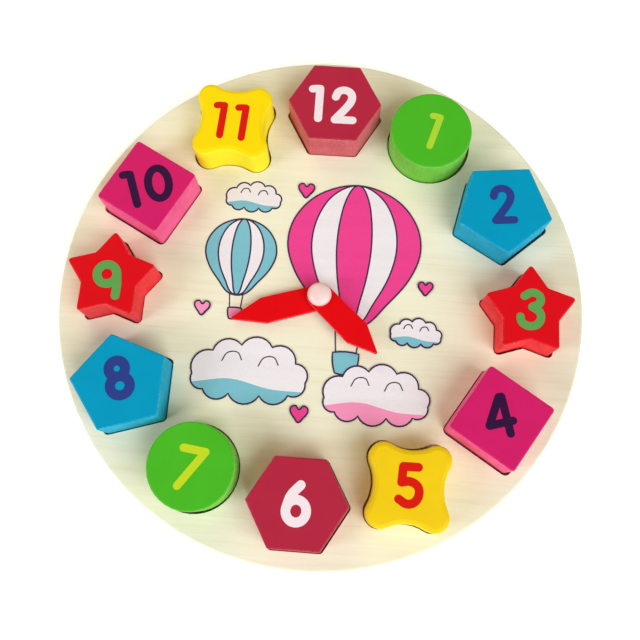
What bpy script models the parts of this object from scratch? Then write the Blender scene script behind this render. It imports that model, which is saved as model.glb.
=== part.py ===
"""Wooden teaching clock with twelve loose shape blocks and two hands turned by hand.

It lies flat: +Z out of the dial, +Y towards 12 o'clock, +X towards 3 o'clock. The origin is under the
centre of the dial, on the surface that the clock lies on. Every length is in metres.
"""

import math

import bmesh
import bpy
from mathutils import Matrix, Vector

# Board: an upper ply with cut-through pockets, glued to a thinner lower ply
BOARD_DIAMETER = 0.225
FACE_PLY_THICKNESS = 0.006
BACK_PLY_THICKNESS = 0.003
FACE_EDGE_ROUND = 0.0009
BACK_EDGE_ROUND = 0.0005

# Room left between pieces that rest on each other, and round the loose blocks
SEAT_GAP = 0.0003
POCKET_CLEARANCE = 0.00095

# Blocks: one thickness, a ring whose radius is a share of the board's, and the size of each shape as
# a share of the distance between neighbours on that ring
BLOCK_COUNT = 12
BLOCK_THICKNESS = 0.0214
BLOCK_EDGE_ROUND = 0.0007
LOBED_EDGE_ROUND = 0.0019
RING_SHARE = 0.7707
CIRCLE_DIAMETER_SHARE = 0.778
PENTAGON_RADIUS_SHARE = 0.4612
PENTAGON_CORNER_ROUND = 0.001
STAR_POINTS = 5
STAR_RADIUS_SHARE = 0.439
STAR_NOTCH_SHARE = 0.2696
STAR_POINT_ROUND = 0.0012
STAR_NOTCH_ROUND = 0.0018
SQUARE_SIDE_SHARE = 0.678
SQUARE_CORNER_ROUND = 0.0014
HEXAGON_WIDTH_SHARE = 0.7865
HEXAGON_CORNER_ROUND = 0.0009

# The lobed square's waist and the radius of its lobes are shares of its own width, and it is a
# little longer up the dial than across
LOBED_WIDTH_SHARE = 0.727
LOBED_LENGTH_SHARE = 1.034
LOBED_WAIST_SHARE = 0.84
LOBE_RADIUS_SHARE = 0.175

# Hands: flat ply pointers, widest at their shoulders. Each length is a share of the ring's radius, and
# the place of the shoulders is a share of the length.
HAND_THICKNESS = 0.002
HAND_EDGE_ROUND = 0.0004
HAND_END_RADIUS = 0.0055
HAND_SHOULDER_WIDTH = 0.0116
HAND_SHOULDER_ROUND = 0.004
HAND_TIP_ROUND = 0.0006
MINUTE_HAND_SHARE = 0.4578
MINUTE_SHOULDER_SHARE = 0.615
HOUR_HAND_SHARE = 0.4094
HOUR_SHOULDER_SHARE = 0.641
MINUTE_HAND_BEARING = 251.5
HOUR_HAND_BEARING = 131.7

# Snap rivet that the hands turn on. Its cap and washers are shares of the hands' round ends.
STEM_RADIUS = 0.002
STEM_CLEARANCE = 0.0003
STEM_TIP_TAPER = 0.0004
CAP_RADIUS_SHARE = 0.93
CAP_RISE = 0.0022
CAP_EDGE_HEIGHT = 0.0009
CAP_UNDERCUT = 0.0003
SNAP_BEAD_RISE = 0.00045
SNAP_BEAD_LENGTH = 0.0011
SNAP_BEAD_HEIGHT = 0.0042
SOCKET_WALL = 0.0011
SOCKET_FLANGE_RADIUS = 0.0066
SOCKET_FLANGE_THICKNESS = 0.0015
SOCKET_FLANGE_ROUND = 0.0003
SOCKET_TOP_DROP = 0.0002
FLANGE_INSET = 0.0002
LOWER_WASHER_SHARE = 0.877
LOWER_WASHER_THICKNESS = 0.0006
MIDDLE_WASHER_SHARE = 0.772
MIDDLE_WASHER_THICKNESS = 0.0005
WASHER_EDGE = 0.00015

# Facets
BOARD_SIDES = 96
CIRCLE_SIDES = 40
TURNED_STEPS = 24
CORNER_STEPS = 3
LOBE_STEPS = 9
HOLLOW_STEPS = 8
HAND_END_STEPS = 12
DOME_STEPS = 6
EDGE_STEPS = 2
SHARP_ANGLE = math.radians(35)
EDGE_ANGLE = math.radians(50)
FLAT_ANGLE = math.radians(1)
MERGE_DISTANCE = 0.00001
CUT_OVERRUN = 0.002

# Sizes that follow the board's
RING_RADIUS = BOARD_DIAMETER / 2 * RING_SHARE
BLOCK_PITCH = 2 * RING_RADIUS * math.sin(math.pi / BLOCK_COUNT)
CIRCLE_DIAMETER = BLOCK_PITCH * CIRCLE_DIAMETER_SHARE
PENTAGON_CORNER_RADIUS = BLOCK_PITCH * PENTAGON_RADIUS_SHARE
STAR_POINT_RADIUS = BLOCK_PITCH * STAR_RADIUS_SHARE
STAR_NOTCH_RADIUS = BLOCK_PITCH * STAR_NOTCH_SHARE
SQUARE_SIDE = BLOCK_PITCH * SQUARE_SIDE_SHARE
LOBED_WIDTH = BLOCK_PITCH * LOBED_WIDTH_SHARE
LOBED_WAIST = LOBED_WIDTH * LOBED_WAIST_SHARE
LOBE_RADIUS = LOBED_WIDTH * LOBE_RADIUS_SHARE
HEXAGON_ACROSS_FLATS = BLOCK_PITCH * HEXAGON_WIDTH_SHARE
MINUTE_HAND_LENGTH = RING_RADIUS * MINUTE_HAND_SHARE
MINUTE_HAND_SHOULDER = MINUTE_HAND_LENGTH * MINUTE_SHOULDER_SHARE
HOUR_HAND_LENGTH = RING_RADIUS * HOUR_HAND_SHARE
HOUR_HAND_SHOULDER = HOUR_HAND_LENGTH * HOUR_SHOULDER_SHARE

# Levels above the surface that the clock lies on
POCKET_FLOOR = BACK_PLY_THICKNESS
FACE_BOTTOM = BACK_PLY_THICKNESS + SEAT_GAP
FACE_TOP = FACE_BOTTOM + FACE_PLY_THICKNESS
BLOCK_BOTTOM = POCKET_FLOOR + SEAT_GAP
LOWER_WASHER_BOTTOM = FACE_TOP + SEAT_GAP
MINUTE_HAND_BOTTOM = LOWER_WASHER_BOTTOM + LOWER_WASHER_THICKNESS + SEAT_GAP
MIDDLE_WASHER_BOTTOM = MINUTE_HAND_BOTTOM + HAND_THICKNESS + SEAT_GAP
HOUR_HAND_BOTTOM = MIDDLE_WASHER_BOTTOM + MIDDLE_WASHER_THICKNESS + SEAT_GAP
CAP_BOTTOM = HOUR_HAND_BOTTOM + HAND_THICKNESS + SEAT_GAP

# Round the rivet, each radius follows the stem or the hands' round ends
CAP_RADIUS = HAND_END_RADIUS * CAP_RADIUS_SHARE
LOWER_WASHER_RADIUS = HAND_END_RADIUS * LOWER_WASHER_SHARE
MIDDLE_WASHER_RADIUS = HAND_END_RADIUS * MIDDLE_WASHER_SHARE
STEM_HOLE_RADIUS = STEM_RADIUS + STEM_CLEARANCE
SOCKET_RADIUS = STEM_HOLE_RADIUS + SOCKET_WALL
BOARD_HOLE_RADIUS = SOCKET_RADIUS + SEAT_GAP
RECESS_RADIUS = SOCKET_FLANGE_RADIUS + SEAT_GAP
FLANGE_TOP = FLANGE_INSET + SOCKET_FLANGE_THICKNESS
RECESS_DEPTH = FLANGE_TOP + SEAT_GAP
STEM_END = FLANGE_TOP + SEAT_GAP

# Hour: shape, turn of the shape, and bearing from 12 o'clock. The pockets are set out by eye, so the
# bearings, and the distances from the centre as shares of the ring's radius, stray a little.
BLOCK_PLACES = {
    1: ("circle", 0.0, 29.5),
    2: ("pentagon", -42.6, 60.5),
    3: ("star", -1.0, 91.2),
    4: ("square", -13.7, 121.4),
    5: ("lobed", 0.0, 151.4),
    6: ("hexagon", 29.6, 180.9),
    7: ("circle", 0.0, 210.4),
    8: ("pentagon", -18.3, 239.5),
    9: ("star", 0.0, 269.2),
    10: ("square", -17.5, 297.2),
    11: ("lobed", 0.0, 328.8),
    12: ("hexagon", 29.1, 359.8),
}
DISTANCE_SHARES = {
    1: 0.99, 2: 0.988, 3: 1.0, 4: 1.031, 5: 1.0, 6: 0.992,
    7: 1.008, 8: 1.023, 9: 1.005, 10: 1.0, 11: 0.983, 12: 0.975,
}

# Each block stands a little off the middle of its pocket. These are the ways across and up the dial
# from the block to the middle of its pocket, as shares of the clearance.
POCKET_OFFSET_SHARES = {
    1: (0.4, 0.3),
    2: (0.5, 0.2),
    3: (0.5, 0.1),
    4: (0.5, -0.2),
    5: (0.4, 0.5),
    6: (0.0, -0.5),
    7: (-0.5, -0.1),
    8: (-0.4, 0.35),
    9: (-0.5, 0.3),
    10: (-0.3, 0.1),
    11: (-0.2, 0.6),
    12: (-0.15, 0.6),
}

# Colour of each finish as seen, 0 to 255, and its roughness
SHAPE_COLOURS = {
    "circle": (72, 184, 40),
    "pentagon": (0, 152, 200),
    "star": (226, 16, 28),
    "square": (214, 40, 106),
    "lobed": (246, 208, 26),
    "hexagon": (186, 38, 64),
}
PAINT_ROUGHNESS = 0.45
PLY_COLOUR = (238, 230, 203)
PLY_ROUGHNESS = 0.6
HAND_COLOUR = (224, 18, 28)
PLASTIC_COLOUR = (238, 205, 203)
PLASTIC_ROUGHNESS = 0.25
COLOUR_STEPS = 255
DISPLAY_GAMMA = 2.2


def clear_scene():
    """Remove every object that is already in the scene."""
    for thing in list(bpy.data.objects):
        bpy.data.objects.remove(thing, do_unlink=True)


def new_collection(name):
    """Add a collection to the scene."""
    collection = bpy.data.collections.new(name)
    bpy.context.scene.collection.children.link(collection)
    return collection


def new_material(name, colour, roughness):
    """Make a plain Principled material from a colour as seen on a screen."""
    material = bpy.data.materials.new(name)
    material.use_nodes = True
    shader = material.node_tree.nodes["Principled BSDF"]
    linear = [(channel / COLOUR_STEPS) ** DISPLAY_GAMMA for channel in colour]
    shader.inputs["Base Color"].default_value = (*linear, 1.0)
    shader.inputs["Roughness"].default_value = roughness
    shader.inputs["Metallic"].default_value = 0.0
    return material


def polar(radius, bearing):
    """Point at a clockwise bearing in degrees from +Y."""
    angle = math.radians(bearing)
    return Vector((radius * math.sin(angle), radius * math.cos(angle)))


def arc(centre, radius, start, end, steps):
    """Points along an arc between two angles in radians, both ends included."""
    angles = [start + (end - start) * step / steps for step in range(steps + 1)]
    return [centre + radius * Vector((math.cos(angle), math.sin(angle))) for angle in angles]


def rounded_corner(before, corner, after, radius):
    """Points of the arc that rounds a corner, whichever way the outline turns there."""
    to_before = (before - corner).normalized()
    to_after = (after - corner).normalized()
    half = to_before.angle(to_after) / 2
    centre = corner + (to_before + to_after).normalized() * radius / math.sin(half)
    spoke = corner + to_before * radius / math.tan(half) - centre
    sweep = math.copysign(math.pi - 2 * half, -to_before.cross(to_after))
    turns = [Matrix.Rotation(sweep * step / CORNER_STEPS, 2) for step in range(CORNER_STEPS + 1)]
    return [centre + turn @ spoke for turn in turns]


def rounded_polygon(corners, radii):
    """Closed outline through anticlockwise corners, each rounded by its own radius."""
    outline = []
    for place, (corner, radius) in enumerate(zip(corners, radii)):
        before = corners[place - 1]
        after = corners[(place + 1) % len(corners)]
        outline += rounded_corner(before, corner, after, radius)
    return outline


def ring_of_corners(radii):
    """Anticlockwise corners at even angles from +Y, at the given radii."""
    step = 360 / len(radii)
    return [polar(radius, -step * place) for place, radius in enumerate(radii)]


def regular_outline(sides, corner_radius, corner_round, grow):
    """Regular polygon with a corner at +Y, its sides moved out by grow."""
    grown = corner_radius + grow / math.cos(math.pi / sides)
    return rounded_polygon(ring_of_corners([grown] * sides), [corner_round + grow] * sides)


def star_outline(grow):
    """Five-pointed star with a point at +Y, its sides moved out by grow."""
    point = polar(STAR_POINT_RADIUS, 0)
    notch = polar(STAR_NOTCH_RADIUS, 180 / STAR_POINTS)
    side_distance = abs(point.cross(notch)) / (notch - point).length
    scale = (side_distance + grow) / side_distance
    corners = ring_of_corners([STAR_POINT_RADIUS * scale, STAR_NOTCH_RADIUS * scale] * STAR_POINTS)
    return rounded_polygon(corners, [STAR_POINT_ROUND + grow, STAR_NOTCH_ROUND - grow] * STAR_POINTS)


def circle_outline(radius):
    """Circle as a closed outline."""
    return arc(Vector((0, 0)), radius, 0, math.tau, CIRCLE_SIDES)[:-1]


def lobed_outline(grow):
    """Square with four round lobes and a hollow in each side, its edge moved out by grow."""
    lobe_place = LOBED_WIDTH / 2 - LOBE_RADIUS
    waist = LOBED_WAIST / 2
    hollow_radius = lobe_place**2 + (waist - lobe_place) ** 2 - LOBE_RADIUS**2
    hollow_radius /= 2 * (LOBE_RADIUS + lobe_place - waist)
    hollow_place = waist + hollow_radius
    meeting = math.atan2(-lobe_place, hollow_place - lobe_place)
    leaving = math.atan2(lobe_place - hollow_place, lobe_place)
    lobe = arc(Vector((lobe_place, lobe_place)), LOBE_RADIUS + grow,
               meeting, math.pi / 2 - meeting, LOBE_STEPS)
    hollow = arc(Vector((0, hollow_place)), hollow_radius - grow,
                 leaving, -math.pi - leaving, HOLLOW_STEPS)
    quarter = lobe + hollow[1:-1]
    turns = [Matrix.Rotation(math.pi / 2 * side, 2) for side in range(4)]
    square = [turn @ point for turn in turns for point in quarter]
    return [Vector((point.x, point.y * LOBED_LENGTH_SHARE)) for point in square]


def shape_outline(shape, grow=0.0):
    """Outline of a block, or with grow, of the pocket that it stands in."""
    if shape == "circle":
        return circle_outline(CIRCLE_DIAMETER / 2 + grow)
    if shape == "pentagon":
        return regular_outline(5, PENTAGON_CORNER_RADIUS, PENTAGON_CORNER_ROUND, grow)
    if shape == "star":
        return star_outline(grow)
    if shape == "square":
        return regular_outline(4, SQUARE_SIDE / math.sqrt(2), SQUARE_CORNER_ROUND, grow)
    if shape == "lobed":
        return lobed_outline(grow)
    hexagon_corner_radius = HEXAGON_ACROSS_FLATS / 2 / math.cos(math.pi / 6)
    return regular_outline(6, hexagon_corner_radius, HEXAGON_CORNER_ROUND, grow)


def hand_outline(length, shoulder):
    """Pointer along +Y: a round end about the pivot, sides that widen to the shoulders, a tip."""
    half_width = HAND_SHOULDER_WIDTH / 2
    right = Vector((half_width, shoulder))
    tip = Vector((0, length))
    left = Vector((-half_width, shoulder))
    touch = math.atan2(shoulder, half_width) - math.acos(HAND_END_RADIUS / right.length)
    end = arc(Vector((0, 0)), HAND_END_RADIUS, math.pi - touch, math.tau + touch, HAND_END_STEPS)
    outline = rounded_corner(end[-1], right, tip, HAND_SHOULDER_ROUND)
    outline += rounded_corner(right, tip, left, HAND_TIP_ROUND)
    outline += rounded_corner(tip, left, end[0], HAND_SHOULDER_ROUND)
    return outline + end


def flat_mesh(name, outline, bottom, thickness):
    """Solid between two levels, drawn as a filled curve with a thickness and made a mesh."""
    curve = bpy.data.curves.new(name, "CURVE")
    curve.dimensions = "2D"
    curve.fill_mode = "BOTH"
    curve.extrude = thickness / 2
    spline = curve.splines.new("POLY")
    spline.points.add(len(outline) - 1)
    for point, place in zip(spline.points, outline):
        point.co = (*place, 0, 1)
    spline.use_cyclic_u = True
    drawn = bpy.data.objects.new(name, curve)
    bpy.context.scene.collection.objects.link(drawn)
    graph = bpy.context.evaluated_depsgraph_get()
    mesh = bpy.data.meshes.new_from_object(drawn.evaluated_get(graph))
    bpy.data.objects.remove(drawn)
    bpy.data.curves.remove(curve)
    mesh.name = name
    form = bmesh.new()
    form.from_mesh(mesh)
    bmesh.ops.remove_doubles(form, verts=form.verts, dist=MERGE_DISTANCE)
    bmesh.ops.dissolve_limit(form, angle_limit=FLAT_ANGLE, verts=form.verts, edges=form.edges)
    bmesh.ops.translate(form, verts=form.verts, vec=(0, 0, bottom + thickness / 2))
    bmesh.ops.recalc_face_normals(form, faces=form.faces)
    form.to_mesh(mesh)
    form.free()
    return mesh


def disc_mesh(name, radius, bottom, thickness, sides):
    """Flat round solid between two levels."""
    form = bmesh.new()
    bmesh.ops.create_cone(form, cap_ends=True, segments=sides, radius1=radius, radius2=radius,
                          depth=thickness)
    bmesh.ops.translate(form, verts=form.verts, vec=(0, 0, bottom + thickness / 2))
    mesh = bpy.data.meshes.new(name)
    form.to_mesh(mesh)
    form.free()
    return mesh


def profile_mesh(name, profile, closed):
    """Half section of a turned piece, as a line of edges in the XZ plane."""
    edges = [(place, place + 1) for place in range(len(profile) - 1)]
    if closed:
        edges.append((len(profile) - 1, 0))
    mesh = bpy.data.meshes.new(name)
    mesh.from_pydata([(across, 0, up) for across, up in profile], edges, [])
    return mesh


def new_object(name, mesh, collection, material=None, location=(0, 0, 0), bearing=0.0):
    """Place a mesh in a collection, turned clockwise by a bearing in degrees."""
    piece = bpy.data.objects.new(name, mesh)
    piece.location = location
    piece.rotation_euler.z = -math.radians(bearing)
    collection.objects.link(piece)
    if material and not mesh.materials:
        mesh.materials.append(material)
    return piece


def new_cutter(name, mesh, collection, location=(0, 0, 0), bearing=0.0):
    """Place a mesh that only cuts other pieces."""
    cutter = new_object(name, mesh, collection, location=location, bearing=bearing)
    cutter.hide_render = True
    cutter.display_type = "WIRE"
    return cutter


def round_edges(piece, width):
    """Round the rims of a flat piece and leave the facets of its curves alone."""
    bevel = piece.modifiers.new("rounded_edges", "BEVEL")
    bevel.limit_method = "ANGLE"
    bevel.angle_limit = EDGE_ANGLE
    bevel.width = width
    bevel.segments = EDGE_STEPS


def cut(piece, cutters):
    """Cut a collection of cutters out of a piece."""
    boolean = piece.modifiers.new("cut_" + cutters.name, "BOOLEAN")
    boolean.operation = "DIFFERENCE"
    boolean.operand_type = "COLLECTION"
    boolean.collection = cutters
    boolean.solver = "EXACT"


def turn(piece):
    """Turn a half section into a solid about Z."""
    screw = piece.modifiers.new("turned", "SCREW")
    screw.axis = "Z"
    screw.angle = math.tau
    screw.steps = TURNED_STEPS
    screw.render_steps = TURNED_STEPS
    screw.use_merge_vertices = True
    screw.merge_threshold = MERGE_DISTANCE
    screw.use_smooth_shade = True


def shade(mesh):
    """Smooth a mesh between its sharp edges."""
    mesh.shade_smooth()
    mesh.set_sharp_from_angle(angle=SHARP_ANGLE)


def build_board(clock, cutters, ply):
    """Make the two plies: the upper with its pockets, the lower with the rivet's recess."""
    face_cutters = bpy.data.collections.new("pocket_cutters")
    back_cutters = bpy.data.collections.new("recess_cutters")
    cutters.children.link(face_cutters)
    cutters.children.link(back_cutters)

    pocket_bottom = FACE_BOTTOM - CUT_OVERRUN
    pocket_height = FACE_PLY_THICKNESS + 2 * CUT_OVERRUN
    pockets = {shape: flat_mesh(shape + "_pocket", shape_outline(shape, POCKET_CLEARANCE),
                                pocket_bottom, pocket_height) for shape in SHAPE_COLOURS}
    for hour, (shape, turned, bearing) in BLOCK_PLACES.items():
        place = polar(RING_RADIUS * DISTANCE_SHARES[hour], bearing)
        place += Vector(POCKET_OFFSET_SHARES[hour]) * POCKET_CLEARANCE
        new_cutter(f"pocket_{hour:02d}", pockets[shape], face_cutters, (*place, 0), turned)
    hole = disc_mesh("rivet_hole", BOARD_HOLE_RADIUS, -CUT_OVERRUN, FACE_TOP + 2 * CUT_OVERRUN,
                     TURNED_STEPS)
    new_cutter("face_hole", hole, face_cutters)
    new_cutter("back_hole", hole, back_cutters)
    recess = disc_mesh("flange_recess", RECESS_RADIUS, -CUT_OVERRUN, RECESS_DEPTH + CUT_OVERRUN,
                       TURNED_STEPS)
    new_cutter("back_recess", recess, back_cutters)

    radius = BOARD_DIAMETER / 2
    face_mesh = disc_mesh("board_face", radius, FACE_BOTTOM, FACE_PLY_THICKNESS, BOARD_SIDES)
    back_mesh = disc_mesh("board_back", radius, 0, BACK_PLY_THICKNESS, BOARD_SIDES)
    shade(face_mesh)
    shade(back_mesh)
    face = new_object("board_face", face_mesh, clock, ply)
    round_edges(face, FACE_EDGE_ROUND)
    cut(face, face_cutters)
    back = new_object("board_back", back_mesh, clock, ply)
    round_edges(back, BACK_EDGE_ROUND)
    cut(back, back_cutters)


def build_blocks(clock):
    """Make the twelve blocks, two of each shape from one mesh."""
    meshes = {}
    for shape, colour in SHAPE_COLOURS.items():
        meshes[shape] = flat_mesh(shape + "_block", shape_outline(shape), 0, BLOCK_THICKNESS)
        meshes[shape].materials.append(new_material(shape + "_paint", colour, PAINT_ROUGHNESS))
        shade(meshes[shape])
    for hour, (shape, turned, bearing) in BLOCK_PLACES.items():
        place = polar(RING_RADIUS * DISTANCE_SHARES[hour], bearing)
        block = new_object(f"block_{hour:02d}", meshes[shape], clock,
                           location=(*place, BLOCK_BOTTOM), bearing=turned)
        round_edges(block, LOBED_EDGE_ROUND if shape == "lobed" else BLOCK_EDGE_ROUND)


def build_hands(clock, cutters, paint):
    """Make both hands, each with its origin on the axis that it turns about."""
    bore_cutters = bpy.data.collections.new("bore_cutters")
    cutters.children.link(bore_cutters)
    bore = disc_mesh("hand_bore", STEM_HOLE_RADIUS, FACE_TOP, CAP_BOTTOM - FACE_TOP, TURNED_STEPS)
    new_cutter("hand_bores", bore, bore_cutters)
    hands = (
        ("minute_hand", MINUTE_HAND_LENGTH, MINUTE_HAND_SHOULDER, MINUTE_HAND_BOTTOM,
         MINUTE_HAND_BEARING),
        ("hour_hand", HOUR_HAND_LENGTH, HOUR_HAND_SHOULDER, HOUR_HAND_BOTTOM, HOUR_HAND_BEARING),
    )
    for name, length, shoulder, bottom, bearing in hands:
        mesh = flat_mesh(name, hand_outline(length, shoulder), 0, HAND_THICKNESS)
        shade(mesh)
        hand = new_object(name, mesh, clock, paint, (0, 0, bottom), bearing)
        round_edges(hand, HAND_EDGE_ROUND)
        cut(hand, bore_cutters)


def cap_profile():
    """Half section of the dome cap and its stem, from the top of the dome to the stem's end."""
    angles = [math.pi / 2 * step / DOME_STEPS for step in range(DOME_STEPS + 1)]
    edge_top = CAP_BOTTOM + CAP_EDGE_HEIGHT
    dome = [(CAP_RADIUS * math.sin(angle), edge_top + CAP_RISE * math.cos(angle))
            for angle in angles]
    bead_middle = SNAP_BEAD_HEIGHT
    bead_half = SNAP_BEAD_LENGTH / 2
    return dome + [
        (CAP_RADIUS, CAP_BOTTOM + CAP_UNDERCUT),
        (CAP_RADIUS - CAP_UNDERCUT, CAP_BOTTOM),
        (STEM_RADIUS, CAP_BOTTOM),
        (STEM_RADIUS, bead_middle + bead_half),
        (STEM_RADIUS + SNAP_BEAD_RISE, bead_middle),
        (STEM_RADIUS, bead_middle - bead_half),
        (STEM_RADIUS, STEM_END + STEM_TIP_TAPER),
        (STEM_RADIUS - STEM_TIP_TAPER, STEM_END),
        (0, STEM_END),
    ]


def socket_profile():
    """Half section of the rear half of the rivet, from its rim to the middle of its flange."""
    rim = FACE_TOP - SOCKET_TOP_DROP
    flange_edge = SOCKET_FLANGE_RADIUS - SOCKET_FLANGE_ROUND
    groove_half = SNAP_BEAD_LENGTH / 2 + SEAT_GAP
    floor = FLANGE_TOP
    return [
        (0, floor),
        (STEM_HOLE_RADIUS, floor),
        (STEM_HOLE_RADIUS, SNAP_BEAD_HEIGHT - groove_half),
        (STEM_HOLE_RADIUS + SNAP_BEAD_RISE, SNAP_BEAD_HEIGHT),
        (STEM_HOLE_RADIUS, SNAP_BEAD_HEIGHT + groove_half),
        (STEM_HOLE_RADIUS, rim),
        (SOCKET_RADIUS, rim),
        (SOCKET_RADIUS, FLANGE_TOP),
        (flange_edge, FLANGE_TOP),
        (SOCKET_FLANGE_RADIUS, FLANGE_TOP - SOCKET_FLANGE_ROUND),
        (SOCKET_FLANGE_RADIUS, FLANGE_INSET + SOCKET_FLANGE_ROUND),
        (flange_edge, FLANGE_INSET),
        (0, FLANGE_INSET),
    ]


def washer_profile(radius, bottom, thickness):
    """Closed section of a washer round the stem, its rim a little broken."""
    top = bottom + thickness
    return [
        (STEM_HOLE_RADIUS, top),
        (radius - WASHER_EDGE, top),
        (radius, top - WASHER_EDGE),
        (radius, bottom + WASHER_EDGE),
        (radius - WASHER_EDGE, bottom),
        (STEM_HOLE_RADIUS, bottom),
    ]


def build_rivet(clock, plastic):
    """Make the snap rivet and the washers that it holds."""
    lower = washer_profile(LOWER_WASHER_RADIUS, LOWER_WASHER_BOTTOM, LOWER_WASHER_THICKNESS)
    middle = washer_profile(MIDDLE_WASHER_RADIUS, MIDDLE_WASHER_BOTTOM, MIDDLE_WASHER_THICKNESS)
    turned = (
        ("hub_pin", cap_profile(), False),
        ("rivet_socket", socket_profile(), False),
        ("lower_washer", lower, True),
        ("middle_washer", middle, True),
    )
    for name, profile, closed in turned:
        turn(new_object(name, profile_mesh(name, profile, closed), clock, plastic))


def main():
    """Build the clock."""
    clear_scene()
    clock = new_collection("wooden_teaching_clock")
    cutters = new_collection("cutters")
    ply = new_material("pale_ply", PLY_COLOUR, PLY_ROUGHNESS)
    hand_paint = new_material("hand_paint", HAND_COLOUR, PAINT_ROUGHNESS)
    plastic = new_material("pink_plastic", PLASTIC_COLOUR, PLASTIC_ROUGHNESS)
    build_board(clock, cutters, ply)
    build_blocks(clock)
    build_hands(clock, cutters, hand_paint)
    build_rivet(clock, plastic)


main()
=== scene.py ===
"""Looks of a wooden teaching clock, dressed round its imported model.

Lengths are in metres. The numerals and the places of the printed motifs are in millimetres, and each
motif's outline is in shares of its own size. +Z comes out of the dial and +Y points to 12 o'clock.
"""

from __future__ import annotations

import logging
import math
from dataclasses import dataclass, field
from enum import Enum
from typing import Iterable, Sequence

import bmesh
import bpy
from mathutils import Matrix, Vector
from mathutils.geometry import interpolate_bezier

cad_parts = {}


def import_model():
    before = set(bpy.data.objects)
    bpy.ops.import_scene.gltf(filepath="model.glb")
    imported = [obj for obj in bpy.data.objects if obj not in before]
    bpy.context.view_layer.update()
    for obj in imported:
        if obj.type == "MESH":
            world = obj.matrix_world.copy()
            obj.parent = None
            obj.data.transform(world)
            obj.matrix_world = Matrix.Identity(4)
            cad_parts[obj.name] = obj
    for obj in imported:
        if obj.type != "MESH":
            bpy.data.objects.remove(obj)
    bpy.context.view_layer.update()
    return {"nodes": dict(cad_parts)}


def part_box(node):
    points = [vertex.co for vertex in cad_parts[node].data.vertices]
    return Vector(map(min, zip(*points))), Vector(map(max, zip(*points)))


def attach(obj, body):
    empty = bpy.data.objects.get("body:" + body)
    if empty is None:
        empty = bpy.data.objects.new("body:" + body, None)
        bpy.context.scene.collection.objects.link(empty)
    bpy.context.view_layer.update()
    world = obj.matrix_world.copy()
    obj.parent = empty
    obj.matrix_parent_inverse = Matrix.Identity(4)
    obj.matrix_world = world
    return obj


LOG = logging.getLogger("teaching_clock")
MILLIMETRE = 0.001
MERGE_DISTANCE = 0.000004
ROUND_END_STEPS = 5
NUMBER_SOCKET = "NodeSocketFloat"
VECTOR_SOCKET = "NodeSocketVector"
WHITE_LIGHT = (1.0, 1.0, 1.0, 1.0)

Points = Sequence[tuple[float, float]]
Outline = tuple[tuple[float, float], ...]
Rgb = tuple[int, int, int]
Socket = bpy.types.NodeSocket


class Ink(Enum):
    """Paints and printing inks, as seen on a screen, 0 to 255."""

    WHITE = (244, 227, 233)
    LIME = (173, 213, 53)
    LEMON = (194, 217, 34)
    INDIGO = (42, 60, 135)
    LEAF = (93, 159, 80)
    NAVY = (44, 6, 54)
    SCARLET = (217, 20, 5)
    PINK = (236, 66, 144)
    ROSE = (247, 150, 192)
    TEAL = (124, 190, 205)
    CLOUD = (238, 231, 236)
    OUTLINE = (62, 42, 72)


def linear(colour: Rgb) -> tuple[float, float, float, float]:
    """Turn a colour as seen on a screen into the linear colour that a shader takes, by the sRGB curve.

    Args:
        colour: red, green and blue, 0 to 255.

    Returns:
        The linear colour with full alpha.
    """
    channels = (channel / 255 for channel in colour)
    straight = [
        value / 12.92 if value <= 0.04045 else ((value + 0.055) / 1.055) ** 2.4 for value in channels
    ]
    return (*straight, 1.0)


def shaded(colour: tuple[float, ...], factor: float, lift: float = 0.0) -> tuple[float, ...]:
    """Darken or lighten a linear colour and keep its full alpha."""
    return (*(channel * factor + lift for channel in colour[:3]), 1.0)


def polar(radius: float, bearing: float) -> Vector:
    """Point at a clockwise bearing in degrees from 12 o'clock."""
    angle = math.radians(bearing)
    return Vector((radius * math.sin(angle), radius * math.cos(angle), 0.0))


# Flat paint and printing


def smooth_path(points: Points, closed: bool = False, steps: int = 6) -> list[Vector]:
    """Run a smooth curve through a few points.

    Args:
        points: the points that the curve goes through.
        closed: True for a curve that comes back to its start.
        steps: the pieces that each stretch is cut into.

    Returns:
        Points along the curve, the first one not repeated at the end of a closed curve.
    """
    knots = [Vector((x, y, 0.0)) for x, y in points]
    count = len(knots)
    last = count if closed else count - 1
    path = []
    for place in range(last):
        start, end = knots[place], knots[(place + 1) % count]
        before = knots[place - 1] if closed or place else start
        after = knots[(place + 2) % count] if closed or place + 2 < count else end
        reach = (end - start).length / 3
        leaving = (end - before).normalized() * reach
        arriving = (after - start).normalized() * reach
        stretch = interpolate_bezier(start, start + leaving, end - arriving, end, steps + 1)
        path += stretch[:-1]
    return path if closed else path + [knots[-1]]


def scalloped_path(points: Points, bulge: float, steps: int = 8) -> list[Vector]:
    """Join corners by arcs that swell outwards, as round a cloud.

    Args:
        points: the corners, clockwise.
        bulge: height of each arc as a share of half its span.
        steps: the pieces that each arc is cut into.

    Returns:
        Points along the closed outline.
    """
    path = []
    for place, corner in enumerate(points):
        start = Vector((*corner, 0.0))
        end = Vector((*points[(place + 1) % len(points)], 0.0))
        half = (end - start) / 2
        outwards = Vector((-half.y, half.x, 0.0))
        sweep = 4 * math.atan(bulge)
        radius = half.length / math.sin(sweep / 2)
        centre = start + half - outwards.normalized() * radius * math.cos(sweep / 2)
        spoke = start - centre
        path += [
            centre + Matrix.Rotation(-sweep * step / steps, 3, "Z") @ spoke for step in range(steps)
        ]
    return path


def placed(outline: Points, x: float, y: float, size: float, narrowed: float = 1.0) -> Outline:
    """Bring an outline in shares of a size to its place, narrowed sideways by a share."""
    return tuple((x + across * size * narrowed, y + up * size) for across, up in outline)


def oval(x: float, y: float, across: float, up: float, count: int = 12) -> Outline:
    """Points round an oval, clockwise from its top, with half its width and half its height."""
    turns = [math.tau * place / count for place in range(count)]
    return tuple((x + across * math.sin(turn), y + up * math.cos(turn)) for turn in turns)


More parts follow.
